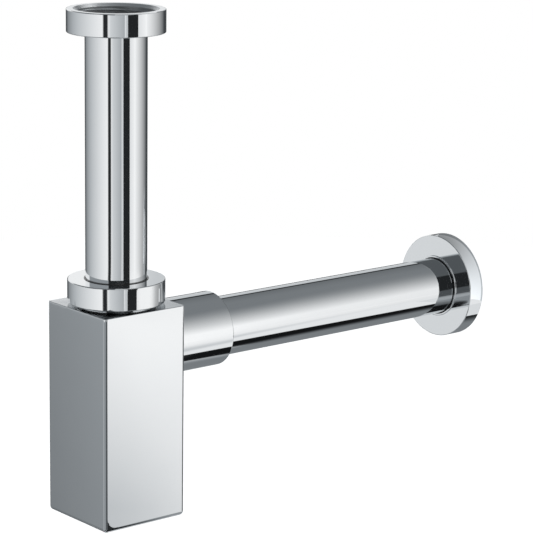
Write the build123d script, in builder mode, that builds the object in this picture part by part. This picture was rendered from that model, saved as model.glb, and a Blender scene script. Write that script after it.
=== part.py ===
from build123d import *
import os

# Pipes, both of one size
pipe_od = 32.0
pipe_wall = 1.0
slide_fit = 0.08  # round each pipe in its seals, rings and socket

# Union nut and gland nut
thread_over_pipe = 4.215  # pipe surface to the G1 1/4 pitch line
thread_fit = 0.05  # off the pitch line, on each side of a thread
nut_wall = 5.185  # pitch line to the nut's outside
nut_height = 12.0
nut_lip = 2.4
nut_hole_clear = 0.8
nut_edge = 0.5
nut_mouth = 1.5  # depth of the lead-in cone
nut_mouth_flare = 1.6
thread_relief = 0.75  # undercut beyond the pitch line, round the washer
collar_clear = 1.0  # pitch line to the collar, washer and gasket edges

# Inlet
inlet_drop = 146.7  # sealing face of the basin waste to the bottle's top
collar_t = 1.0
collar_root = 0.5
washer_t = 2.0
washer_bore_over = 0.5

# Gland on the neck
gland_gap = 1.5  # bottle's top to the gland nut
slip_ring_t = 1.3
slip_ring_proud = 0.3
slip_ring_fit = 0.1
seal_proud = 0.8
seal_fit = 0.05
gasket_t = 0.8
neck_edge = 0.5

# Dip tube
dip_clear = 0.5
dip_wall = 1.4
dip_fit = 0.15
dip_collar_t = 1.2
seat_depth = 4.0
seat_flare = 1.0
nozzle_len = 12.7
nozzle_bore_under = 0.5
nozzle_wall = 1.5
nozzle_taper = 3.0
lift_travel = 34.0
lift_spare = 1.0

# Bottle
water_gap = 5.1  # dip tube to the inner wall
bottle_wall = 2.5
top_wall = 4.0
seal_depth = 50.0  # water held above the dip tube's end
sump_depth = 17.3
cavity_corner = 3.0
side_round = 1.6
bottom_round = 2.4
top_round = 0.3

# Outlet socket
socket_wall = 4.0
socket_len = 37.2
socket_below_top = 2.7
socket_edge = 0.8
socket_lead = 0.6
stop_inset = 3.0
oring_section = 2.2
oring_fit = 0.05
oring_groove_room = 0.8
oring_setback = 5.7
oring_pitch = 6.0

# Outlet pipe and wall flange
push_in = 7.5
wall_reach = 237.3  # inlet axis to the wall
tail_len = 9.0
tail_step = 0.2
tail_edge = 0.3
flange_cover = 13.25  # pipe surface to the flange's outside
flange_depth = 9.9
flange_wall = 1.2
flange_edge = 0.4
bead_width = 1.0  # raised bead round the flange's hole
bead_proud = 0.5
bead_edge = 0.45
grip_section = 0.45
grip_fit = 0.1
grip_back = 3.0
grip_back_r = 2.6

# Cleanout in the floor
plug_margin = 2.1  # bottom round to the plug's recess
plug_gap = 0.2
plug_seat = 4.0
plug_head_t = 3.0
plug_washer_t = 1.0
plug_thread_len = 5.0
plug_cup_wall = 3.0
plug_edge = 0.4
slot_width = 3.0
slot_len = 24.0
slot_depth = 1.8

# Radii from the pipe outwards
pipe_r = pipe_od / 2
bore_r = pipe_r - pipe_wall
thread_r = pipe_r + thread_over_pipe
male_r = thread_r - thread_fit
female_r = thread_r + thread_fit
nut_r = thread_r + nut_wall
hole_r = pipe_r + nut_hole_clear
collar_r = thread_r - collar_clear
fit_r = pipe_r + slide_fit
dip_ir = pipe_r + dip_clear
dip_or = dip_ir + dip_wall
neck_ir = dip_or + dip_fit
socket_r = pipe_r + socket_wall
flange_r = pipe_r + flange_cover

# Levels of the inlet, from the sealing face at zero
collar_top = -washer_t
lip_top = collar_top - collar_t
union_base = lip_top - nut_lip
union_rim = union_base + nut_height
bottle_top = -inlet_drop

# Levels of the gland, from the bottle's top up
gland_base = bottle_top + gland_gap
gland_rim = gland_base + nut_height
gland_lip = gland_rim - nut_lip
slip_base = gland_lip - slip_ring_t
dip_top = slip_base - seal_proud
gasket_top = dip_top - dip_collar_t
neck_top = gasket_top - gasket_t

# Levels of the bottle, from its top down
outlet_z = bottle_top - socket_below_top - socket_r
water_z = outlet_z - bore_r
dip_end = water_z - seal_depth
pipe_stop = dip_end + nozzle_len
pipe_end = pipe_stop + lift_travel + lift_spare
floor_top = dip_end - sump_depth
plug_shoulder = floor_top - plug_thread_len
plug_head_top = plug_shoulder - plug_washer_t
bottle_base = plug_head_top - plug_head_t

# Widths of the bottle and its floor
cavity_half = dip_or + water_gap
bottle_half = cavity_half + bottle_wall
recess_r = bottle_half - bottom_round - plug_margin
head_r = recess_r - plug_gap
plug_r = recess_r - plug_seat

# Stations along the outlet
stop_x = bottle_half + stop_inset
socket_end = bottle_half + socket_len
tail_end = wall_reach + tail_len
flange_face = wall_reach - flange_depth
flange_inside = flange_face + flange_wall
bead_face = flange_face - bead_proud
groove_r = pipe_r + oring_section
groove_width = oring_section + oring_groove_room
oring_outer_x = socket_end - oring_setback
oring_inner_x = oring_outer_x - oring_pitch

outlet_axis = Axis((0, 0, outlet_z), (1, 0, 0))
outlet_section = Plane(origin=(0, 0, outlet_z), x_dir=(1, 0, 0), z_dir=(0, -1, 0))
outlet_plane = Plane(origin=(0, 0, outlet_z), x_dir=(0, 1, 0), z_dir=(1, 0, 0))

os.makedirs("parts", exist_ok=True)

# Union nut: lip below, undercut round the washer, thread and lead-in cone above
with BuildPart() as union_nut:
    with BuildSketch(Plane.XZ):
        with BuildLine():
            Polyline(
                (hole_r, union_base),
                (nut_r, union_base),
                (nut_r, union_rim),
                (female_r + nut_mouth_flare, union_rim),
                (female_r, union_rim - nut_mouth),
                (female_r, 0),
                (thread_r + thread_relief, 0),
                (thread_r + thread_relief, lip_top),
                (hole_r, lip_top),
                close=True,
            )
        make_face()
    revolve(axis=Axis.Z)
    fillet(union_nut.edges().filter_by(GeomType.CIRCLE).group_by(SortBy.RADIUS)[-1], nut_edge)
union_nut.part.label = "union_nut"
export_step(union_nut.part, "parts/union_nut.step")

# Flat washer on the pipe's collar
with BuildPart() as inlet_washer:
    with BuildSketch(Plane.XY.offset(collar_top)):
        Circle(collar_r)
        Circle(bore_r + washer_bore_over, mode=Mode.SUBTRACT)
    extrude(amount=washer_t)
inlet_washer.part.label = "inlet_washer"
export_step(inlet_washer.part, "parts/inlet_washer.step")

# Inlet pipe with its rolled collar
with BuildPart() as inlet_pipe:
    with BuildSketch(Plane.XY.offset(pipe_end)):
        Circle(pipe_r)
    extrude(amount=collar_top - pipe_end)
    with BuildSketch(Plane.XY.offset(lip_top)):
        Circle(collar_r)
    extrude(amount=collar_t)
    collar_corner = inlet_pipe.edges().filter_by(GeomType.CIRCLE).group_by(Axis.Z)[1]
    fillet(collar_corner.sort_by(SortBy.RADIUS)[0], collar_root)
    with BuildSketch(Plane.XY.offset(pipe_end)):
        Circle(bore_r)
    extrude(amount=collar_top - pipe_end, mode=Mode.SUBTRACT)
    collar_mouth = inlet_pipe.edges().filter_by(GeomType.CIRCLE).group_by(Axis.Z)[-1]
    fillet(collar_mouth.sort_by(SortBy.RADIUS)[0], collar_root)
inlet_pipe.part.label = "inlet_pipe"
export_step(inlet_pipe.part, "parts/inlet_pipe.step")

# Gland nut: lip on top, thread and lead-in cone below
with BuildPart() as gland_nut:
    with BuildSketch(Plane.XZ):
        with BuildLine():
            Polyline(
                (hole_r, gland_rim),
                (nut_r, gland_rim),
                (nut_r, gland_base),
                (female_r + nut_mouth_flare, gland_base),
                (female_r, gland_base + nut_mouth),
                (female_r, gland_lip),
                (hole_r, gland_lip),
                close=True,
            )
        make_face()
    revolve(axis=Axis.Z)
    fillet(gland_nut.edges().filter_by(GeomType.CIRCLE).group_by(SortBy.RADIUS)[-1], nut_edge)
gland_nut.part.label = "gland_nut"
export_step(gland_nut.part, "parts/gland_nut.step")

# Slip ring under the gland nut's lip, its own lip standing in the nut's hole
with BuildPart() as slip_ring:
    with BuildSketch(Plane.XZ):
        with BuildLine():
            Polyline(
                (pipe_r + slip_ring_fit, slip_base),
                (collar_r, slip_base),
                (collar_r, gland_lip),
                (hole_r - slip_ring_fit, gland_lip),
                (hole_r - slip_ring_fit, gland_rim + slip_ring_proud),
                (pipe_r + slip_ring_fit, gland_rim + slip_ring_proud),
                close=True,
            )
        make_face()
    revolve(axis=Axis.Z)
slip_ring.part.label = "slip_ring"
export_step(slip_ring.part, "parts/slip_ring.step")

# Cone seal, wedged between the pipe and the dip tube's seat
with BuildPart() as cone_seal:
    with BuildSketch(Plane.XZ):
        with BuildLine():
            Polyline(
                (fit_r, dip_top - seat_depth),
                (dip_ir - seal_fit, dip_top - seat_depth),
                (dip_ir + seat_flare - seal_fit, dip_top),
                (dip_ir + seat_flare - seal_fit, slip_base),
                (fit_r, slip_base),
                close=True,
            )
        make_face()
    revolve(axis=Axis.Z)
cone_seal.part.label = "cone_seal"
export_step(cone_seal.part, "parts/cone_seal.step")

# Flat gasket on the neck's rim
with BuildPart() as neck_gasket:
    with BuildSketch(Plane.XY.offset(neck_top)):
        Circle(collar_r)
        Circle(neck_ir, mode=Mode.SUBTRACT)
    extrude(amount=gasket_t)
neck_gasket.part.label = "neck_gasket"
export_step(neck_gasket.part, "parts/neck_gasket.step")

# Dip tube: collar and seal seat on top, stop for the pipe and nozzle at its end
with BuildPart() as dip_tube:
    nozzle_ir = bore_r - nozzle_bore_under
    nozzle_or = nozzle_ir + nozzle_wall
    with BuildSketch(Plane.XZ):
        with BuildLine():
            Polyline(
                (dip_ir, pipe_stop),
                (dip_ir, dip_top - seat_depth),
                (dip_ir + seat_flare, dip_top),
                (collar_r, dip_top),
                (collar_r, gasket_top),
                (dip_or, gasket_top),
                (dip_or, pipe_stop - nozzle_wall),
                (nozzle_or, pipe_stop - nozzle_wall - nozzle_taper),
                (nozzle_or, dip_end),
                (nozzle_ir, dip_end),
                (nozzle_ir, pipe_stop),
                close=True,
            )
        make_face()
    revolve(axis=Axis.Z)
dip_tube.part.label = "dip_tube"
export_step(dip_tube.part, "parts/dip_tube.step")

# Bottle: square casting with a threaded neck on top and a round socket on one side
with BuildPart() as bottle:
    with BuildSketch(Plane.XY.offset(bottle_base)):
        Rectangle(2 * bottle_half, 2 * bottle_half)
    extrude(amount=bottle_top - bottle_base)
    fillet(bottle.edges().group_by(Axis.Z)[0], bottom_round)
    fillet(bottle.edges().filter_by(Axis.Z), side_round)
    fillet(bottle.edges().group_by(Axis.Z)[-1], top_round)

    # Neck
    with BuildSketch(Plane.XY.offset(bottle_top)):
        Circle(male_r)
    extrude(amount=neck_top - bottle_top)
    chamfer(bottle.edges().group_by(Axis.Z)[-1], neck_edge)

    # Socket
    with BuildSketch(outlet_plane.offset(bottle_half)):
        Circle(socket_r)
    extrude(amount=socket_len)
    fillet(bottle.edges().group_by(Axis.X)[-1], socket_edge)

    # Water space, open to the neck
    with BuildSketch(Plane.XY.offset(floor_top)):
        RectangleRounded(2 * cavity_half, 2 * cavity_half, cavity_corner)
    extrude(amount=bottle_top - top_wall - floor_top, mode=Mode.SUBTRACT)
    with BuildSketch(Plane.XY.offset(bottle_top - top_wall)):
        Circle(neck_ir)
    extrude(amount=top_wall + neck_top - bottle_top, mode=Mode.SUBTRACT)

    # Socket's bore with its stop, grooves and lead-in
    with BuildSketch(outlet_section):
        with BuildLine():
            Polyline(
                (dip_or, 0),
                (dip_or, bore_r),
                (stop_x, bore_r),
                (stop_x, fit_r),
                (oring_inner_x - groove_width / 2, fit_r),
                (oring_inner_x - groove_width / 2, groove_r),
                (oring_inner_x + groove_width / 2, groove_r),
                (oring_inner_x + groove_width / 2, fit_r),
                (oring_outer_x - groove_width / 2, fit_r),
                (oring_outer_x - groove_width / 2, groove_r),
                (oring_outer_x + groove_width / 2, groove_r),
                (oring_outer_x + groove_width / 2, fit_r),
                (socket_end - socket_lead, fit_r),
                (socket_end, fit_r + socket_lead),
                (socket_end, 0),
                close=True,
            )
        make_face()
    revolve(axis=outlet_axis, mode=Mode.SUBTRACT)

    # Cleanout in the floor
    with BuildSketch(Plane.XY.offset(bottle_base)):
        Circle(recess_r)
    extrude(amount=plug_shoulder - bottle_base, mode=Mode.SUBTRACT)
    with BuildSketch(Plane.XY.offset(plug_shoulder)):
        Circle(plug_r + thread_fit)
    extrude(amount=plug_thread_len, mode=Mode.SUBTRACT)
bottle.part.label = "bottle"
export_step(bottle.part, "parts/bottle.step")

# O-rings in the socket's grooves
oring_r = oring_section / 2
for oring_name, oring_x in (("outlet_oring_inner", oring_inner_x), ("outlet_oring_outer", oring_outer_x)):
    with BuildPart() as outlet_oring:
        with BuildSketch(outlet_section):
            with Locations((oring_x, pipe_r + oring_r)):
                Circle(oring_r - oring_fit)
        revolve(axis=outlet_axis)
    outlet_oring.part.label = oring_name
    export_step(outlet_oring.part, f"parts/{oring_name}.step")

# Outlet pipe, its tail turned down to enter the wall seal
with BuildPart() as outlet_pipe:
    with BuildSketch(outlet_plane.offset(stop_x + push_in)):
        Circle(pipe_r)
    extrude(amount=wall_reach - stop_x - push_in)
    with BuildSketch(outlet_plane.offset(wall_reach)):
        Circle(pipe_r - tail_step)
    extrude(amount=tail_len)
    with BuildSketch(outlet_plane.offset(stop_x + push_in)):
        Circle(bore_r)
    extrude(amount=tail_end - stop_x - push_in, mode=Mode.SUBTRACT)
    chamfer(outlet_pipe.edges().group_by(Axis.X)[-1].sort_by(SortBy.RADIUS)[-1], tail_edge)
outlet_pipe.part.label = "outlet_pipe"
export_step(outlet_pipe.part, "parts/outlet_pipe.step")

# Wall flange: a cup open towards the wall, with a small bead round its hole
flange_hole_r = pipe_r + grip_section + grip_fit
with BuildPart() as wall_flange:
    with BuildSketch(outlet_plane.offset(flange_face)):
        Circle(flange_r)
    extrude(amount=flange_depth)
    fillet(wall_flange.edges().filter_by(GeomType.CIRCLE), flange_edge)
    with BuildSketch(outlet_plane.offset(bead_face)):
        Circle(flange_hole_r + bead_width)
    extrude(amount=bead_proud)
    fillet(wall_flange.edges().group_by(Axis.X)[0], bead_edge)
    with BuildSketch(outlet_plane.offset(flange_inside)):
        Circle(flange_r - flange_wall)
    extrude(amount=flange_depth - flange_wall, mode=Mode.SUBTRACT)
    with BuildSketch(outlet_plane.offset(bead_face)):
        Circle(flange_hole_r)
    extrude(amount=flange_inside - bead_face, mode=Mode.SUBTRACT)
wall_flange.part.label = "wall_flange"
export_step(wall_flange.part, "parts/wall_flange.step")

# Grip ring in the flange's hole, its shoulder behind the flange
with BuildPart() as flange_grip_ring:
    with BuildSketch(outlet_section):
        with BuildLine():
            Polyline(
                (flange_face, fit_r),
                (flange_face, flange_hole_r - grip_fit),
                (flange_inside, flange_hole_r - grip_fit),
                (flange_inside, flange_hole_r + grip_back_r),
                (flange_inside + grip_back, flange_hole_r + grip_back_r),
                (flange_inside + grip_back, fit_r),
                close=True,
            )
        make_face()
    revolve(axis=outlet_axis)
flange_grip_ring.part.label = "flange_grip_ring"
export_step(flange_grip_ring.part, "parts/flange_grip_ring.step")

# Flat washer under the plug's head
with BuildPart() as cleanout_washer:
    with BuildSketch(Plane.XY.offset(plug_head_top)):
        Circle(head_r)
        Circle(plug_r + plug_gap, mode=Mode.SUBTRACT)
    extrude(amount=plug_washer_t)
cleanout_washer.part.label = "cleanout_washer"
export_step(cleanout_washer.part, "parts/cleanout_washer.step")

# Cleanout plug: flush head with a coin slot, hollow threaded spigot
with BuildPart() as cleanout_plug:
    with BuildSketch(Plane.XY.offset(bottle_base)):
        Circle(head_r)
    extrude(amount=plug_head_t)
    chamfer(cleanout_plug.edges().group_by(Axis.Z)[0], plug_edge)
    with BuildSketch(Plane.XY.offset(plug_head_top)):
        Circle(plug_r - thread_fit)
    extrude(amount=floor_top - plug_head_top)
    with BuildSketch(Plane.XY.offset(plug_head_top)):
        Circle(plug_r - plug_cup_wall)
    extrude(amount=floor_top - plug_head_top, mode=Mode.SUBTRACT)
    with BuildSketch(Plane.XY.offset(bottle_base)):
        SlotOverall(slot_len, slot_width)
    extrude(amount=slot_depth, mode=Mode.SUBTRACT)
cleanout_plug.part.label = "cleanout_plug"
export_step(cleanout_plug.part, "parts/cleanout_plug.step")
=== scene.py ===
# %% [markdown]
# # A square bottle trap for a wash basin
# The trap hangs under a basin: a union nut takes the basin's waste, a chromed tube drops into a square bottle
# that keeps a water seal, and a second tube carries the water to the wall, where a round flange hides the hole.
# The shapes come from the CAD model, in metres. This lesson gives them their finishes, cuts the union nut's thread,
# and sets up the studio in which polished chrome looks like chrome.

import math

import bpy
from mathutils import Matrix, Vector


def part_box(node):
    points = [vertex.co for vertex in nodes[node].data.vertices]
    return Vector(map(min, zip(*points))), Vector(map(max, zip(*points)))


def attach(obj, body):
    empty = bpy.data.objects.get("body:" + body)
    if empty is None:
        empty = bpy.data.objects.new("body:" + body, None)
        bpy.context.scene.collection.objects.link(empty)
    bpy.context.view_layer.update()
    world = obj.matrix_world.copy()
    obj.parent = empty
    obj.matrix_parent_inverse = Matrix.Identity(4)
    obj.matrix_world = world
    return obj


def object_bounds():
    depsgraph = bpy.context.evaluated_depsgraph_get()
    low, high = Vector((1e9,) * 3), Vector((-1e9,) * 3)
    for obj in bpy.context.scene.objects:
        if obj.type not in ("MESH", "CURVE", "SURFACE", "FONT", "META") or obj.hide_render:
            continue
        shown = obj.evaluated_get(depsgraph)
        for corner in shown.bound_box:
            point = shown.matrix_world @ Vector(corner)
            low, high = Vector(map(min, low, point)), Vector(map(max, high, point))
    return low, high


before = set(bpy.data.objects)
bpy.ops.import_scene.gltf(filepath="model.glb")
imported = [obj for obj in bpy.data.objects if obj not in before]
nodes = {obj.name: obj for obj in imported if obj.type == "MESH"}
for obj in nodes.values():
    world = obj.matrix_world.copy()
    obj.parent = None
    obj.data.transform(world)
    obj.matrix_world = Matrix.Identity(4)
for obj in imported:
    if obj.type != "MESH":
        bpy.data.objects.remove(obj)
cad_low, cad_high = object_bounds()
print("CAD pieces:", ", ".join(sorted(nodes)))
print("CAD box in mm:", [round(1000 * length, 1) for length in cad_high - cad_low])

# %% [markdown]
# ## The camera
# The photograph looks down a little on the trap, from the left of its front. A camera can be placed by eye, but
# the edges of the nuts, bottle and flange give enough lines to work it out: the direction, the distance, a small
# roll, and a long lens, as product photographers use to keep upright edges upright.

# %% Place the camera
camera_turn = math.radians(-39.574)
camera_height = math.radians(12.98)
camera_roll = math.radians(0.776)
camera_distance = 1.312949
camera_aim = Vector((0.086888, -0.016733, -0.135977))
lens_mm = 165.885
sensor_mm = 36
nearest_seen = 0.02

back = Vector((
    math.sin(camera_turn) * math.cos(camera_height),
    -math.cos(camera_turn) * math.cos(camera_height),
    math.sin(camera_height),
))
level = Vector((math.cos(camera_turn), math.sin(camera_turn), 0))
upright = back.cross(level)
side = level * math.cos(camera_roll) + upright * math.sin(camera_roll)
top = upright * math.cos(camera_roll) - level * math.sin(camera_roll)

camera_data = bpy.data.cameras.new("camera")
camera_data.sensor_width = sensor_mm
camera_data.lens = lens_mm
camera_data.clip_start = nearest_seen
camera = bpy.data.objects.new("camera", camera_data)
place = Matrix((side, top, back)).transposed().to_4x4()
place.translation = camera_aim + back * camera_distance
camera.matrix_world = place
bpy.context.scene.collection.objects.link(camera)
bpy.context.scene.camera = camera
print("Camera stands at", [round(c, 3) for c in camera.matrix_world.translation])

# %% [markdown]
# ## Small helpers for node trees
# Every finish below is a handful of nodes. A few helpers keep the code short: one adds a node and sets its inputs
# by name, and the others do one sum, or mix two shaders, and give back the answer's socket.

# %% Helpers that add nodes
def add_node(tree, kind, settings=None, **sockets):
    """Adds a node, sets its own settings, then sets or links its inputs by name."""
    node = tree.nodes.new(kind)
    for name, value in (settings or {}).items():
        setattr(node, name, value)
    for name, value in sockets.items():
        socket = node.inputs[name.replace("_", " ")]
        if isinstance(value, bpy.types.NodeSocket):
            tree.links.new(value, socket)
        else:
            socket.default_value = value
    return node


def plug(tree, node, values):
    """Sets or links a node's inputs in their order."""
    for slot, value in enumerate(values):
        if isinstance(value, bpy.types.NodeSocket):
            tree.links.new(value, node.inputs[slot])
        else:
            node.inputs[slot].default_value = value


def sum_of(tree, operation, *values):
    """One Math node: the values are numbers or sockets."""
    node = add_node(tree, "ShaderNodeMath", {"operation": operation})
    plug(tree, node, values)
    return node.outputs[0]


def vector_sum(tree, operation, *values):
    """One Vector Math node: the values are vectors or sockets, and the answer a vector or a number."""
    node = add_node(tree, "ShaderNodeVectorMath", {"operation": operation})
    plug(tree, node, values)
    return node.outputs["Value" if operation in ("LENGTH", "DOT_PRODUCT") else "Vector"]


def blend(tree, factor, first, second):
    """Mixes two shaders: the first where the factor is 0, the second where it is 1."""
    node = add_node(tree, "ShaderNodeMixShader")
    plug(tree, node, (factor, first, second))
    return node.outputs[0]


print("Node helpers are ready")

# %% [markdown]
# Three more helpers make masks and tones. Greys in this studio are a little blue where they are dim, as daylight
# through a tent of white cloth is. A mask says where a tone is laid over what was there.

# %% Helpers for masks and tones
def between(tree, value, low, high, soft):
    """1 where value lies between low and high, fading to 0 over soft on both sides."""
    rising = add_node(tree, "ShaderNodeMapRange", {"interpolation_type": "SMOOTHSTEP"},
                      Value=value, From_Min=low - soft, From_Max=low).outputs[0]
    falling = add_node(tree, "ShaderNodeMapRange", {"interpolation_type": "SMOOTHSTEP"},
                       Value=value, From_Min=high, From_Max=high + soft, To_Min=1.0, To_Max=0.0).outputs[0]
    return sum_of(tree, "MULTIPLY", rising, falling)


def cool(tone):
    """A grey of this tone, slightly blue where it is dim."""
    less_red, more_blue = 0.09, 0.07
    dimness = max(0.0, 1.0 - tone)
    return (tone * (1 - less_red * dimness), tone, tone * (1 + more_blue * dimness), 1.0)


def paint(tree, before, mask, tone):
    """Lays a tone over what was there, where the mask is 1."""
    mix = add_node(tree, "ShaderNodeMix", {"data_type": "RGBA"}, Factor=mask)
    colour_before, colour_over = mix.inputs[6], mix.inputs[7]
    tree.links.new(before, colour_before)
    colour_over.default_value = cool(tone)
    return mix.outputs[2]


print("A tone of 0.2 becomes", [round(part, 3) for part in cool(0.2)])

# %% [markdown]
# A finish starts as an empty material. Its patterns follow the Object coordinates, so they stay on the piece when
# it moves.

# %% Helpers for finishes
def new_finish(name):
    """An empty material with a Principled shader, and its Object coordinates."""
    finish = bpy.data.materials.new(name)
    finish.use_nodes = True
    shader = finish.node_tree.nodes["Principled BSDF"]
    where = finish.node_tree.nodes.new("ShaderNodeTexCoord").outputs["Object"]
    return finish, finish.node_tree, shader, where


def coat(finish, *pieces):
    """Gives CAD pieces a finish."""
    for piece in pieces:
        nodes[piece].data.materials.clear()
        nodes[piece].data.materials.append(finish)
    print(finish.name, "on", ", ".join(pieces))


print("Finish helpers are ready")

# %% [markdown]
# ## Threads as a bump
# Threads are cut at the pitch line in CAD. Where a threaded wall can be seen when a nut is undone, the material adds
# the thread as a bump: a height that climbs one pitch for each turn round the axis.

# %% Thread bump
def from_axis(tree, where):
    """Distance from the inlet's axis."""
    return vector_sum(tree, "LENGTH", vector_sum(tree, "MULTIPLY", where, (1, 1, 0)))


def level_of(tree, where):
    """Height above the inlet's sealing face."""
    return add_node(tree, "ShaderNodeSeparateXYZ", Vector=where).outputs["Z"]


def add_thread_bump(tree, where, bump_before, wall_radius, low, high, pitch):
    """Bumps the wall of one radius about Z, between two levels, with a right-hand thread."""
    wall_margin, wall_soft, end_soft = 0.0002, 0.0001, 0.0004
    parts = add_node(tree, "ShaderNodeSeparateXYZ", Vector=where).outputs
    at_radius = between(tree, from_axis(tree, where), wall_radius - wall_margin, wall_radius + wall_margin, wall_soft)
    on_wall = sum_of(tree, "MULTIPLY", at_radius, between(tree, parts["Z"], low, high, end_soft))
    turns = sum_of(tree, "DIVIDE", sum_of(tree, "ARCTAN2", parts["Y"], parts["X"]), math.tau)
    climb = sum_of(tree, "SUBTRACT", sum_of(tree, "DIVIDE", parts["Z"], pitch), turns)
    ridge = sum_of(tree, "PINGPONG", climb, 0.5)
    height = sum_of(tree, "MULTIPLY", ridge, on_wall)
    bump = add_node(tree, "ShaderNodeBump", Strength=1.0, Distance=pitch, Height=height, Normal=bump_before)
    return bump.outputs["Normal"]


pipe_thread_pitch = 0.002309
plug_thread_pitch = 0.0015
print("Pitches in mm:", 1000 * pipe_thread_pitch, "on the pipes,", 1000 * plug_thread_pitch, "on the plug")

# %% [markdown]
# ## Chrome on brass
# The brass is ground, buffed and plated, so it mirrors the room. A perfect mirror looks false: a buffed face is
# never quite flat, and a thin haze of handling changes the gloss from place to place. Both are too small to model,
# so a slow, very weak bump bends the reflections and a second pattern varies the roughness a little. Where a buffing
# wheel hardly reaches, inside the union nut and on the bottle's top beside the neck, the chrome is satin. There its
# colour is also made darker: painted shade in the nut's mouth and under the gland nut.

# %% Make chrome
def make_chrome(name, thread=None, satin_and_shade=None):
    """Buffed chrome, with a thread on one wall, or satin between two radii and two levels, darkened there as painted
    shade.
    """
    finish, tree, shader, where = new_finish(name)
    haze = add_node(tree, "ShaderNodeTexNoise", Vector=where, Scale=55.0, Detail=4.0, Roughness=0.55)
    gloss = add_node(tree, "ShaderNodeMapRange", Value=haze.outputs["Fac"],
                     From_Min=0.3, From_Max=0.7, To_Min=0.025, To_Max=0.06)
    tone = add_node(tree, "ShaderNodeValToRGB", Fac=haze.outputs["Fac"])
    tone.color_ramp.elements[0].color = (0.850, 0.866, 0.878, 1)
    tone.color_ramp.elements[1].color = (0.890, 0.902, 0.910, 1)
    buffing = add_node(tree, "ShaderNodeTexNoise", Vector=where, Scale=24.0, Detail=1.0)
    waviness = add_node(tree, "ShaderNodeBump", Strength=0.02, Distance=0.002, Height=buffing.outputs["Fac"])
    normal = waviness.outputs["Normal"]
    if thread:
        normal = add_thread_bump(tree, where, normal, *thread)
    dullness, colour = gloss.outputs[0], tone.outputs["Color"]
    if satin_and_shade:
        inner, outer, low, high, satin_dullness, painted_shade_tone = satin_and_shade
        satin_and_shade_soft = 0.0002
        satin_and_shade_mask = sum_of(tree, "MULTIPLY", between(tree, from_axis(tree, where), inner, outer, satin_and_shade_soft),
                          between(tree, level_of(tree, where), low, high, satin_and_shade_soft))
        extra = sum_of(tree, "MULTIPLY", haze.outputs["Fac"], satin_dullness * 2)
        dullness = sum_of(tree, "MULTIPLY_ADD", satin_and_shade_mask, extra, dullness)
        # The satin part also gets a darker colour: painted shade in the nut's hollow and under the gland nut.
        colour = paint(tree, colour, satin_and_shade_mask, painted_shade_tone)
    tree.links.new(dullness, shader.inputs["Roughness"])
    tree.links.new(colour, shader.inputs["Base Color"])
    tree.links.new(normal, shader.inputs["Normal"])
    shader.inputs["Metallic"].default_value = 1.0
    return finish


chrome = make_chrome("chrome")
coat(chrome, "inlet_pipe", "gland_nut", "outlet_pipe", "wall_flange")

# %% [markdown]
# The union nut, the bottle and the plug need a chrome of their own, with satin and its painted shade, or with a
# thread, in the right place. The places are measured from the pieces' boxes.

# %% Chrome with satin and threads
union_low, union_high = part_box("union_nut")
union_mouth_radius = 0.0219
# Satin inside the nut's mouth; its darker tone is painted shade in that hollow.
union_inside = (0.0, union_mouth_radius, union_low.z + 0.001, union_high.z, 0.30, 0.70)
union_chrome = make_chrome("union_chrome", satin_and_shade=union_inside)
coat(union_chrome, "union_nut")

neck_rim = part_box("bottle")[1].z
gland_gap = 0.0015
bottle_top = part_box("gland_nut")[0].z - gland_gap
neck_thread = (0.020165, bottle_top + 0.0008, neck_rim, pipe_thread_pitch)
# Satin round the neck on the bottle's top; its darker tone is painted shade under the gland nut.
beside_neck = (0.021, 0.040, bottle_top - 0.0001, bottle_top + 0.001, 0.16, 0.62)
bottle_chrome = make_chrome("bottle_chrome", neck_thread, beside_neck)
coat(bottle_chrome, "bottle")

plug_low, plug_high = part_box("cleanout_plug")
plug_thread = (0.01695, plug_low.z + 0.0045, plug_high.z, plug_thread_pitch)
plug_chrome = make_chrome("plug_chrome", plug_thread)
coat(plug_chrome, "cleanout_plug")

# %% [markdown]
# ## Rubber and plastic
# The washers, cone seal, O-rings and the flange's grip ring are moulded rubber: dark grey, dull, with a fine
# powdery skin. The slip ring is black plastic with a slight shine, and the dip tube is white polypropylene, which
# lets a little light through. Each is one noise for the skin and one for the tone.

# %% Rubber, black plastic and white plastic
def make_moulded(name, dark, light, dull, shiny, grain, depth):
    """A moulded skin: cloudy between two colours, its gloss and its bump of one fine grain."""
    finish, tree, shader, where = new_finish(name)
    skin = add_node(tree, "ShaderNodeTexNoise", Vector=where, Scale=grain, Detail=5.0, Roughness=0.6)
    clouds = add_node(tree, "ShaderNodeTexNoise", Vector=where, Scale=70.0, Detail=3.0)
    tone = add_node(tree, "ShaderNodeValToRGB", Fac=clouds.outputs["Fac"])
    tone.color_ramp.elements[0].color = (*dark, 1)
    tone.color_ramp.elements[1].color = (*light, 1)
    gloss = add_node(tree, "ShaderNodeMapRange", Value=skin.outputs["Fac"],
                     From_Min=0.3, From_Max=0.7, To_Min=shiny, To_Max=dull)
    bump = add_node(tree, "ShaderNodeBump", Strength=0.35, Distance=depth, Height=skin.outputs["Fac"])
    tree.links.new(tone.outputs["Color"], shader.inputs["Base Color"])
    tree.links.new(gloss.outputs[0], shader.inputs["Roughness"])
    tree.links.new(bump.outputs["Normal"], shader.inputs["Normal"])
    return finish, shader


rubber, _ = make_moulded("rubber", (0.012, 0.012, 0.013), (0.022, 0.022, 0.023), dull=0.72, shiny=0.52,
                         grain=2600.0, depth=0.0001)
slip_plastic, _ = make_moulded("slip_plastic", (0.028, 0.028, 0.029), (0.040, 0.040, 0.041), dull=0.22, shiny=0.12,
                               grain=1500.0, depth=0.00002)
tube_plastic, tube_shader = make_moulded("tube_plastic", (0.74, 0.74, 0.72), (0.80, 0.80, 0.78), dull=0.45, shiny=0.32,
                                         grain=900.0, depth=0.00005)
tube_shader.inputs["Subsurface Weight"].default_value = 0.15
tube_shader.inputs["Subsurface Radius"].default_value = (0.002, 0.002, 0.002)

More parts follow.
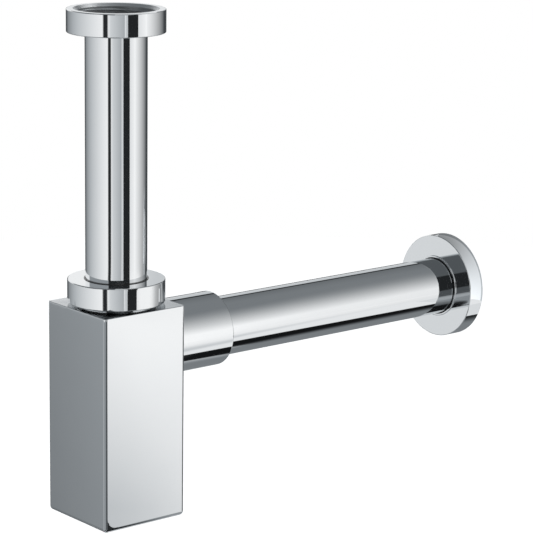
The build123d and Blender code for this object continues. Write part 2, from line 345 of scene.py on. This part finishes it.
coat(rubber, "inlet_washer", "cone_seal", "neck_gasket", "outlet_oring_inner", "outlet_oring_outer",
     "flange_grip_ring", "cleanout_washer")
coat(slip_plastic, "slip_ring")
coat(tube_plastic, "dip_tube")

# %% [markdown]
# ## The union nut's thread
# The nut screws on the basin's waste by a pipe thread, cut by a tap or on a lathe. Its wall stands at the thread's
# pitch line in CAD, so the half of the thread that stands inwards from there is still missing. A bump would do
# from afar, but the photograph looks into the nut, so the ridge is real: a small trapezium that is swept along a
# spiral by Geometry Nodes, with inputs for its sizes.

# %% Nodes that sweep a ridge
def ridge_tree():
    """Sweeps a ridge that stands inwards from a round wall, along a right-hand spiral about Z."""
    tree = bpy.data.node_groups.new("thread_ridge", "GeometryNodeTree")
    for name in ("Ridge Radius", "Ridge Height", "Root Width", "Crest Width", "Pitch", "Turns", "Start Level"):
        tree.interface.new_socket(name, in_out="INPUT", socket_type="NodeSocketFloat")
    tree.interface.new_socket("Finish", in_out="INPUT", socket_type="NodeSocketMaterial")
    tree.interface.new_socket("Geometry", in_out="OUTPUT", socket_type="NodeSocketGeometry")
    size = tree.nodes.new("NodeGroupInput").outputs
    climb = sum_of(tree, "MULTIPLY", size["Pitch"], size["Turns"])
    spiral = add_node(tree, "GeometryNodeCurveSpiral", Resolution=96, Rotations=size["Turns"],
                      Start_Radius=size["Ridge Radius"], End_Radius=size["Ridge Radius"], Height=climb,
                      Reverse=True)
    start = add_node(tree, "ShaderNodeCombineXYZ", Z=size["Start Level"])
    raised = add_node(tree, "GeometryNodeTransform", Geometry=spiral.outputs[0], Translation=start.outputs[0])
    path = add_node(tree, "GeometryNodeSetCurveNormal", {"mode": "Z_UP"}, Curve=raised.outputs[0])
    section = add_node(tree, "GeometryNodeCurvePrimitiveQuadrilateral", {"mode": "TRAPEZOID"},
                       Height=size["Ridge Height"], Bottom_Width=size["Root Width"], Top_Width=size["Crest Width"],
                       Offset=0.0)
    crest_inwards = (0.0, 0.0, math.radians(90))
    turned = add_node(tree, "GeometryNodeTransform", Geometry=section.outputs[0], Rotation=crest_inwards)
    swept = add_node(tree, "GeometryNodeCurveToMesh", Curve=path.outputs[0], Profile_Curve=turned.outputs[0],
                     Fill_Caps=True)
    flat = add_node(tree, "GeometryNodeSetShadeSmooth", Geometry=swept.outputs[0], Shade_Smooth=False)
    real = add_node(tree, "GeometryNodeRealizeInstances", Geometry=flat.outputs[0])
    coated = add_node(tree, "GeometryNodeSetMaterial", Geometry=real.outputs[0], Material=size["Finish"])
    add_node(tree, "NodeGroupOutput", Geometry=coated.outputs[0])
    return tree


sweep_nodes = ridge_tree()
print("The sweep has", len(sweep_nodes.nodes), "nodes")

# %% [markdown]
# The ridge's root reaches a hair into the nut's wall, so that no gap shows. The swept shape is made a plain mesh,
# and it turns with the nut.

# %% Sweep the thread
thread_wall = 0.020265
root_in_wall = 0.00003
ridge_height = 0.00079
ridge_sizes = {
    "Ridge Radius": thread_wall + root_in_wall - ridge_height / 2,
    "Ridge Height": ridge_height,
    "Root Width": pipe_thread_pitch / 2,
    "Crest Width": 0.00038,
    "Pitch": pipe_thread_pitch,
    "Turns": 1.65,
    "Start Level": 0.00065,
    "Finish": union_chrome,
}
union_thread = bpy.data.objects.new("union_thread", bpy.data.meshes.new("union_thread"))
bpy.context.scene.collection.objects.link(union_thread)
sweep = union_thread.modifiers.new("thread_ridge", "NODES")
sweep.node_group = sweep_nodes
for item in sweep_nodes.interface.items_tree:
    if item.in_out == "INPUT":
        sweep[item.identifier] = ridge_sizes[item.name]
ridge_mesh = bpy.data.meshes.new_from_object(union_thread.evaluated_get(bpy.context.evaluated_depsgraph_get()))
union_thread.modifiers.clear()
union_thread.data = ridge_mesh
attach(union_thread, "union")
radii = [math.hypot(*v.co[:2]) * 1000 for v in ridge_mesh.vertices]
levels = [v.co.z * 1000 for v in ridge_mesh.vertices]
print("Thread ridge:", len(ridge_mesh.polygons), "faces, radius", round(min(radii), 2), "to", round(max(radii), 2),
      "mm, level", round(min(levels), 2), "to", round(max(levels), 2), "mm")

# %% [markdown]
# ## The studio round the chrome
# Chrome has almost no colour of its own: what it shows is the room. So the room is built as photographers build
# it, from large panels of even light with dark gaps between them. Seen from the trap, going round level: a pale
# panel on the left that dims towards the back, a narrow dark gap, a panel round the camera that ends in a thin
# bright seam, and a bright panel on the right that also dims towards the back.
# Panels could be meshes, but as parts of the world they stand far off, so a reflection keeps its place on every
# round piece, as it does in the photograph. The gland nut mirrors one narrow band of the ring, and there the ring is
# turned a little, to bring its stripes to their place.

# %% Directions in the room
world = bpy.data.worlds.new("studio")
bpy.context.scene.world = world
world.use_nodes = True
sky = world.node_tree
sky.nodes.clear()

direction = add_node(sky, "ShaderNodeTexCoord").outputs["Generated"]
axes = add_node(sky, "ShaderNodeSeparateXYZ", Vector=direction).outputs
turn = sum_of(sky, "MULTIPLY", sum_of(sky, "ARCTAN2", axes["Y"], axes["X"]), 180 / math.pi)
height = sum_of(sky, "MULTIPLY", sum_of(sky, "ARCSINE", axes["Z"]), 180 / math.pi)

gland_shift = 2.0
gland_band = between(sky, height, -14.2, -13.3, 0.15)
ring_turn = sum_of(sky, "MULTIPLY_ADD", gland_band, gland_shift, turn)
around = add_node(sky, "ShaderNodeMapRange", Value=ring_turn, From_Min=-180.0, From_Max=180.0).outputs[0]
print("The ring is turned", gland_shift, "degrees where the gland nut mirrors it")

# %% [markdown]
# The ring itself is a colour ramp with two stops for each panel.

# %% Panels round the trap
# Name, from and to in degrees anticlockwise from +X seen from above, and the tone at each end
panels = (
    ("left panel, front part", -180.0, -156.7, 0.84, 0.96),
    ("narrow gap", -155.5, -145.4, 0.022, 0.028),
    ("camera panel, left part", -144.4, -138.7, 0.95, 0.70),
    ("camera panel, right part", -137.2, -106.8, 0.68, 0.44),
    ("bright seam", -106.2, -103.6, 0.82, 0.82),
    ("right panel, front part", -102.7, -54.5, 0.60, 0.99),
    ("right panel, brightest part", -53.8, -52.5, 1.06, 1.05),
    ("right panel, back part", -51.4, 14.8, 0.965, 0.10),
    ("back, low", 15.8, 82.8, 0.06, 0.10),
    ("left panel, dim part", 84.8, 116.8, 0.22, 0.46),
    ("left panel, back part", 133.8, 179.9, 0.57, 0.84),
)
ring = add_node(sky, "ShaderNodeValToRGB", Fac=around)
stops = ring.color_ramp.elements
stops.remove(stops[-1])
stops[0].position = 0.0
stops[0].color = cool(panels[0][3])
for _, start, end, tone_start, tone_end in panels:
    for angle, tone in ((start, tone_start), (end, tone_end)):
        stops.new((angle + 180) / 360).color = cool(tone)
room = ring.outputs["Color"]
print("The ring has", len(panels), "panels and", len(stops), "stops")

# %% [markdown]
# Above the ring the light dims to a grey ceiling, and below the horizon it falls off towards the floor. On the
# camera's side the room is dark above the horizon. Behind the trap stand a bright and a dim panel, up to a thin dark
# gap below the ceiling: they light the flat tops of the nuts and the upper edge of the outlet tube. Low down, a black
# band gives the outlet tube its dark lower edge, and a few shades draw the bottle's edges.
# Each is one tone laid over the room between two directions and two heights, with soft borders.

# %% Ceiling, back panels and low shades
rise = add_node(sky, "ShaderNodeMapRange", Value=height, From_Min=4.0, From_Max=50.0).outputs[0]
fall = add_node(sky, "ShaderNodeMapRange", {"interpolation_type": "SMOOTHSTEP"},
                Value=height, From_Min=-19.0, From_Max=-30.0).outputs[0]
ceiling_tone, fallen_tone = 0.215, 0.64
room = paint(sky, room, rise, ceiling_tone)
room = paint(sky, room, fall, fallen_tone)

# Name, from and to round the trap and their softness, low and high and their softness, all in degrees, and the tone
shades = (
    ("right panel's foot", -43.5, 0.0, 4.0, -40.0, -25.0, 6.0, 0.88),
    ("panel above the camera", -128.0, -70.0, 2.0, 18.0, 60.0, 4.0, 0.75),
    ("left panel's grey head, back", 118.0, 180.0, 3.0, 9.0, 17.0, 2.0, 0.33),
    ("left panel's grey head, front", -180.0, -157.0, 1.0, 9.0, 17.0, 2.0, 0.33),
    ("dark on the camera's side", -154.0, -76.0, 2.0, -2.5, 15.0, 2.0, 0.02),
    ("dark above the narrow gap", -165.0, -129.5, 1.0, 17.5, 36.0, 1.5, 0.02),
    ("dim ceiling, left front", -180.0, -129.5, 1.0, 36.0, 55.0, 3.0, 0.11),
    ("dim ceiling, left back", 125.0, 180.0, 3.0, 17.5, 55.0, 1.5, 0.11),
    ("back panels' bright foot", 36.0, 112.0, 6.0, 5.0, 24.5, 0.8, 0.82),
    ("back panel, bright", 53.0, 112.0, 1.0, 9.5, 24.5, 2.0, 0.92),
    ("back panel, dim", 40.0, 53.0, 1.0, 9.5, 24.5, 2.0, 0.62),
    ("gap under the ceiling", -10.0, 112.0, 5.0, 26.5, 31.0, 1.0, 0.03),
    ("black band", -180.0, 180.0, 1.0, -52.0, -41.5, 1.0, 0.008),
    ("grey ground", -180.0, 180.0, 1.0, -91.0, -54.0, 2.0, 0.34),
    ("low, right back", 14.0, 84.0, 4.0, -40.0, -15.5, 0.7, 0.45),
    ("lower, right back", 10.0, 40.0, 28.0, -91.0, -19.0, 3.0, 0.22),
    ("low, back", 56.0, 103.0, 4.0, -45.0, -17.0, 3.0, 0.15),
    ("low, left back", 104.0, 128.5, 1.5, -36.0, -20.5, 1.0, 0.20),
    ("below the camera", -165.0, -118.0, 2.0, -91.0, -21.5, 0.5, 0.09),
    ("dark line, right", -40.0, 12.0, 2.0, -19.0, -14.2, 0.2, 0.05),
    ("bright line, right", -62.0, -42.0, 24.0, -14.1, -13.25, 0.15, 1.0),
)
for _, turn_from, turn_to, turn_soft, low, high, soft, tone in shades:
    mask = sum_of(sky, "MULTIPLY", between(sky, turn, turn_from, turn_to, turn_soft),
                  between(sky, height, low, high, soft))
    room = paint(sky, room, mask, tone)
print("Laid over the ring:", ", ".join(shade[0] for shade in shades))

# %% [markdown]
# The chrome mirrors this room, and everything is lit by it. Camera rays see plain white instead, like the page that
# the photograph is printed on.

# %% White page behind the trap
ray = add_node(sky, "ShaderNodeLightPath").outputs
studio_light = add_node(sky, "ShaderNodeBackground", Color=room).outputs[0]
white_page = add_node(sky, "ShaderNodeBackground", Color=(1, 1, 1, 1)).outputs[0]
seen = blend(sky, ray["Is Camera Ray"], studio_light, white_page)
add_node(sky, "ShaderNodeOutputWorld", Surface=seen)
print("The room is painted with", len(sky.nodes), "nodes")

# %% [markdown]
# ## The floor
# The trap hangs from the basin, so the pale floor lies a hand's breadth below it. It glows a little towards the
# camera, so that it meets the white page behind it without an edge, and still takes the trap's soft shadow.
# The chrome mirrors the room's own low light in its place. The floor has one side only: from below, where the
# cleanout plug is, the trap shows through it.

# %% Floor
floor_gap = 0.060
floor_radius = 0.9
floor_sides = 96
floor_level = cad_low.z - floor_gap
floor_middle = Vector((0.11, 0.0, floor_level))
floor_rim = [floor_middle + floor_radius * Vector((math.cos(angle), math.sin(angle), 0.0))
             for angle in (math.tau * k / floor_sides for k in range(floor_sides))]
floor_mesh = bpy.data.meshes.new("floor")
floor_mesh.from_pydata(floor_rim, [], [list(range(floor_sides))])
floor = bpy.data.objects.new("floor", floor_mesh)
bpy.context.scene.collection.objects.link(floor)
floor.visible_glossy = False

floor_finish = bpy.data.materials.new("floor_card")
floor_finish.use_nodes = True
floor_tree = floor_finish.node_tree
floor_tree.nodes.clear()
paper = add_node(floor_tree, "ShaderNodeBsdfDiffuse", Color=(0.86, 0.86, 0.86, 1)).outputs[0]
glow = add_node(floor_tree, "ShaderNodeEmission", Color=(1, 1, 1, 1), Strength=0.66).outputs[0]
lit_paper = add_node(floor_tree, "ShaderNodeAddShader")
plug(floor_tree, lit_paper, (paper, glow))
ray = add_node(floor_tree, "ShaderNodeLightPath").outputs
upper_side = blend(floor_tree, ray["Is Camera Ray"], paper, lit_paper.outputs[0])
from_below = add_node(floor_tree, "ShaderNodeNewGeometry").outputs["Backfacing"]
see_through = add_node(floor_tree, "ShaderNodeBsdfTransparent").outputs[0]
add_node(floor_tree, "ShaderNodeOutputMaterial", Surface=blend(floor_tree, from_below, upper_side, see_through))
floor_mesh.materials.append(floor_finish)
print("Floor", floor_gap * 1000, "mm below the bottle")

# %% [markdown]
# ## Cards near the trap
# Some reflections come from close by, so they are cards in the room. A card glows with one tone. It may change along
# a slope, or fade out like a strip of cloth. All the cards show only in reflections.

# %% Hang a card
def fade_out(tree, where, foot, along, core_from, core_to, soft):
    """A mask that is strong at a strip's foot and core, and fades along its length and towards its sides."""
    fade_power, fade_most = 1.9, 0.82
    from_foot = vector_sum(tree, "SUBTRACT", where, foot)
    reach = vector_sum(tree, "DOT_PRODUCT", from_foot, along.normalized())
    aside = vector_sum(tree, "DOT_PRODUCT", from_foot, Vector((-along.y, along.x, 0)).normalized())
    left_over = add_node(tree, "ShaderNodeMapRange", Value=reach, From_Min=0.0, From_Max=along.length,
                         To_Min=1.0, To_Max=0.0).outputs[0]
    lengthwise = sum_of(tree, "MULTIPLY", sum_of(tree, "POWER", left_over, fade_power), fade_most)
    return sum_of(tree, "MULTIPLY", lengthwise, between(tree, aside, core_from, core_to, soft))


def hang_card(name, corners, tone, slope=None, fade=None):
    """A flat card of one tone. A slope is a place of that tone and the change per metre from there."""
    mesh = bpy.data.meshes.new(name)
    mesh.from_pydata(corners, [], [tuple(range(len(corners)))])
    finish = bpy.data.materials.new(name)
    finish.use_nodes = True
    tree = finish.node_tree
    tree.nodes.clear()
    glow = add_node(tree, "ShaderNodeEmission", Color=cool(tone))
    shade = glow.outputs[0]
    where = add_node(tree, "ShaderNodeTexCoord").outputs["Object"]
    if slope:
        place, change = slope
        gain = vector_sum(tree, "DOT_PRODUCT", where, change)
        tree.links.new(sum_of(tree, "ADD", gain, 1.0 - place.dot(change)), glow.inputs["Strength"])
    if fade:
        clear = add_node(tree, "ShaderNodeBsdfTransparent").outputs[0]
        shade = blend(tree, fade_out(tree, where, *fade), clear, shade)
    add_node(tree, "ShaderNodeOutputMaterial", Surface=shade)
    mesh.materials.append(finish)
    hung = bpy.data.objects.new(name, mesh)
    bpy.context.scene.collection.objects.link(hung)
    hung.visible_camera = False
    hung.visible_diffuse = False
    hung.visible_shadow = False
    hung.visible_transmission = False
    print("Hung", name, "with tone", tone)


def lying(left, right, front, rear, card_level):
    """Corners of a card that lies level."""
    return [(left, front, card_level), (right, front, card_level), (right, rear, card_level), (left, rear, card_level)]


def tilted(middle, half_width, half_height):
    """Corners of a card round its middle."""
    return [middle - half_width - half_height, middle + half_width - half_height,
            middle + half_width + half_height, middle - half_width + half_height]


print("Card helpers are ready")

# %% [markdown]
# A tall black flag stands in front of the inlet tube, on a grey foot: it is the wide dark stripe on the nuts and the
# tube, and the darkness where the outlet tube and the flange mirror each other. It is narrower at the height that the
# gland nut mirrors.

# %% Black flag
flag_distance = -0.25
# Name, left, right, foot, head and tone
flags = (
    ("tall_flag", -0.0458, 0.0590, -0.190, 0.120, 0.02),
    ("gland_flag", -0.0492, 0.0460, -0.207, -0.190, 0.02),
    ("low_flag", -0.0458, 0.0590, floor_level, -0.207, 0.09),
)
for name, left, right, foot, head, tone in flags:
    hang_card(name, [(left, flag_distance, foot), (right, flag_distance, foot),
                     (right, flag_distance, head), (left, flag_distance, head)], tone)

# %% [markdown]
# A soft grey strip lies low on the right and shades the foot of the bottle's front face. A row of small cards below
# that face, black to grey, draws its lower edge.

# %% Grey strip and the cards below the bottle
strip_foot = Vector((0.095, -0.193, floor_level + 0.005))
strip_way = Vector((0.350, -0.487, 0.0))
strip_left = Vector((-strip_way.y, strip_way.x, 0)).normalized()
strip_start = strip_foot - strip_way * 0.3
strip_end = strip_foot + strip_way
to_left, to_right = strip_left * 0.13, strip_left * -0.10
strip_core, strip_soft = (-0.03, -0.01), 0.12
hang_card("grey_strip", [strip_start + to_right, strip_start + to_left,
                         strip_end + to_left, strip_end + to_right], 0.50,
          fade=(strip_foot, strip_way, *strip_core, strip_soft))

edge_level = cad_low.z - 0.040
edge_front, edge_rear = -0.110, -0.028
# Left, right and tone
edge_tones = ((-0.030, 0.015, 0.01), (0.015, 0.022, 0.02), (0.022, 0.030, 0.05), (0.030, 0.038, 0.12),
              (0.038, 0.046, 0.20), (0.046, 0.100, 0.30))
for step, (left, right, tone) in enumerate(edge_tones):
    hang_card(f"edge_card_{step + 1}", lying(left, right, edge_front, edge_rear, edge_level), tone)
hang_card("base_card", lying(0.0, 0.10, edge_rear, 0.030, edge_level), 0.50)

# %% [markdown]
# A dark and a grey strip of card, close to the corner between the bottle's two visible faces, draw that upright edge.
# A nearly black one with a round cut-out stands at its foot, where the dark line runs round into the lower edge.

# %% Cards at the bottle's front edge
off_face = -0.0365
hang_card("front_card", [(-0.0446, off_face, -0.268), (-0.0197, off_face, -0.266),
                         (-0.0197, off_face, -0.1508), (-0.0335, off_face, -0.1508)], 0.10)

corner_y = off_face + 0.0001
corner_left, corner_right, corner_foot, corner_head = -0.0197, -0.0092, -0.268, -0.2570
curve_middle = Vector((corner_right, corner_y, -0.2596))
curve_width, curve_height = 0.0062, 0.0036
corner_curve = [curve_middle - Vector((curve_width * math.cos(angle), 0.0, curve_height * math.sin(angle)))
                for angle in (math.radians(90 - 10 * k) for k in range(10))]
hang_card("corner_card", [(corner_left, corner_y, corner_foot), (corner_right, corner_y, corner_foot),
                          *corner_curve, (corner_left, corner_y, corner_head)], 0.025)

hang_card("side_card", [(off_face, -0.0152, -0.267), (off_face, -0.0406, -0.267),
                        (off_face, -0.0406, -0.1515), (off_face, -0.0152, -0.1505)], 0.32)

# %% [markdown]
# A grey card on the left fills the bottle's left face. It is a little brighter towards the top and the front, and it
# is cut to about what that face mirrors, so that little of it shows elsewhere.

# %% Card for the bottle's left face
left_middle = Vector((-0.140, 0.164, 0.0))
left_along = Vector((0.82, 0.57, 0.0)).normalized()
left_toned = left_middle - Vector((0, 0, 0.264))
left_change = Vector((0, 0, 1.2)) - left_along * 6.5
# Along the card, and up
left_outline = ((-0.030, -0.345), (0.085, -0.345), (0.085, -0.199),
                (0.030, -0.199), (0.0175, -0.1907), (-0.030, -0.2079))
hang_card("left_card", [left_middle + left_along * along + Vector((0, 0, up)) for along, up in left_outline], 0.278,
          slope=(left_toned, left_change))

# %% [markdown]
# A pale card behind the outlet tube lights the wall flange's face, and a small one below lights the low part of its
# rim. A part of a ring behind the flange, brighter to the front and below, lights the rest of the rim, and a narrower
# and darker one just before it draws the rim's edge at the wall.

# %% Cards for the wall flange
hang_card("pale_card", tilted(Vector((0.123, 0.109, -0.204)), Vector((0.724, 0.690, 0.0)) * 0.06,
                              Vector((0.0, 0.0, 0.045))), 0.74)
hang_card("rim_card", lying(0.240, 0.275, -0.055, -0.0315, -0.200), 0.78)

flange_axis = Vector((0.2395, 0.0, -0.1694))
ring_inner, ring_outer, shade_outer = 0.0295, 0.0422, 0.0328
ring_slope = (flange_axis + Vector((0, -0.0265, 0.0265)), Vector((0, -10.8, -21.0)))
# From straight up towards the front
ring_from, ring_to, ring_steps = -20, 102, 16
arc = [math.radians(ring_from + (ring_to - ring_from) * k / ring_steps) for k in range(ring_steps + 1)]


def ring_part(middle, outer):
    """Corners of a part of a flat ring about the outlet's axis."""
    outline = [(angle, outer) for angle in arc] + [(angle, ring_inner) for angle in reversed(arc)]
    return [middle + Vector((0, -math.sin(angle), math.cos(angle))) * radius for angle, radius in outline]


hang_card("ring_card", ring_part(flange_axis, ring_outer), 0.63, slope=ring_slope)
hang_card("rim_shade", ring_part(flange_axis - Vector((0.0001, 0, 0)), shade_outer), 0.36, slope=ring_slope)

# %% [markdown]
# A white card above, on the right, shows in the union nut's mouth.

# %% Card for the union nut's mouth
mouth_half = 0.026
hang_card("mouth_card", tilted(Vector((0.081, 0.006, 0.093)), Vector((0.0, mouth_half, 0.0)),
                               Vector((-0.69, 0.0, 0.72)) * mouth_half), 1.6)

# %% [markdown]
# ## A soft lamp
# Rubber, plastic and the floor need a little direct light. One broad soft lamp overhead does that, and throws the
# trap's faint shadow on the floor. It stays out of the reflections, which the panels already fill.

# %% Soft lamp
lamp_data = bpy.data.lights.new("soft_lamp", "AREA")
lamp_data.shape = "DISK"
lamp_data.size = 1.2
lamp_data.energy = 9.0
lamp = bpy.data.objects.new("soft_lamp", lamp_data)
lamp_aim = Vector((0.1, 0, -0.15))
lamp.location = (-0.2, -0.5, 1.1)
lamp.rotation_euler = (lamp_aim - lamp.location).to_track_quat("-Z", "Y").to_euler()
lamp.visible_glossy = False
bpy.context.scene.collection.objects.link(lamp)
print("One soft lamp of", lamp_data.energy, "W")

# %% [markdown]
# ## Finish
# The colours are shown as they are written, so the view transform is the plain one.

# %% Finish
bpy.context.scene.view_settings.view_transform = "Standard"
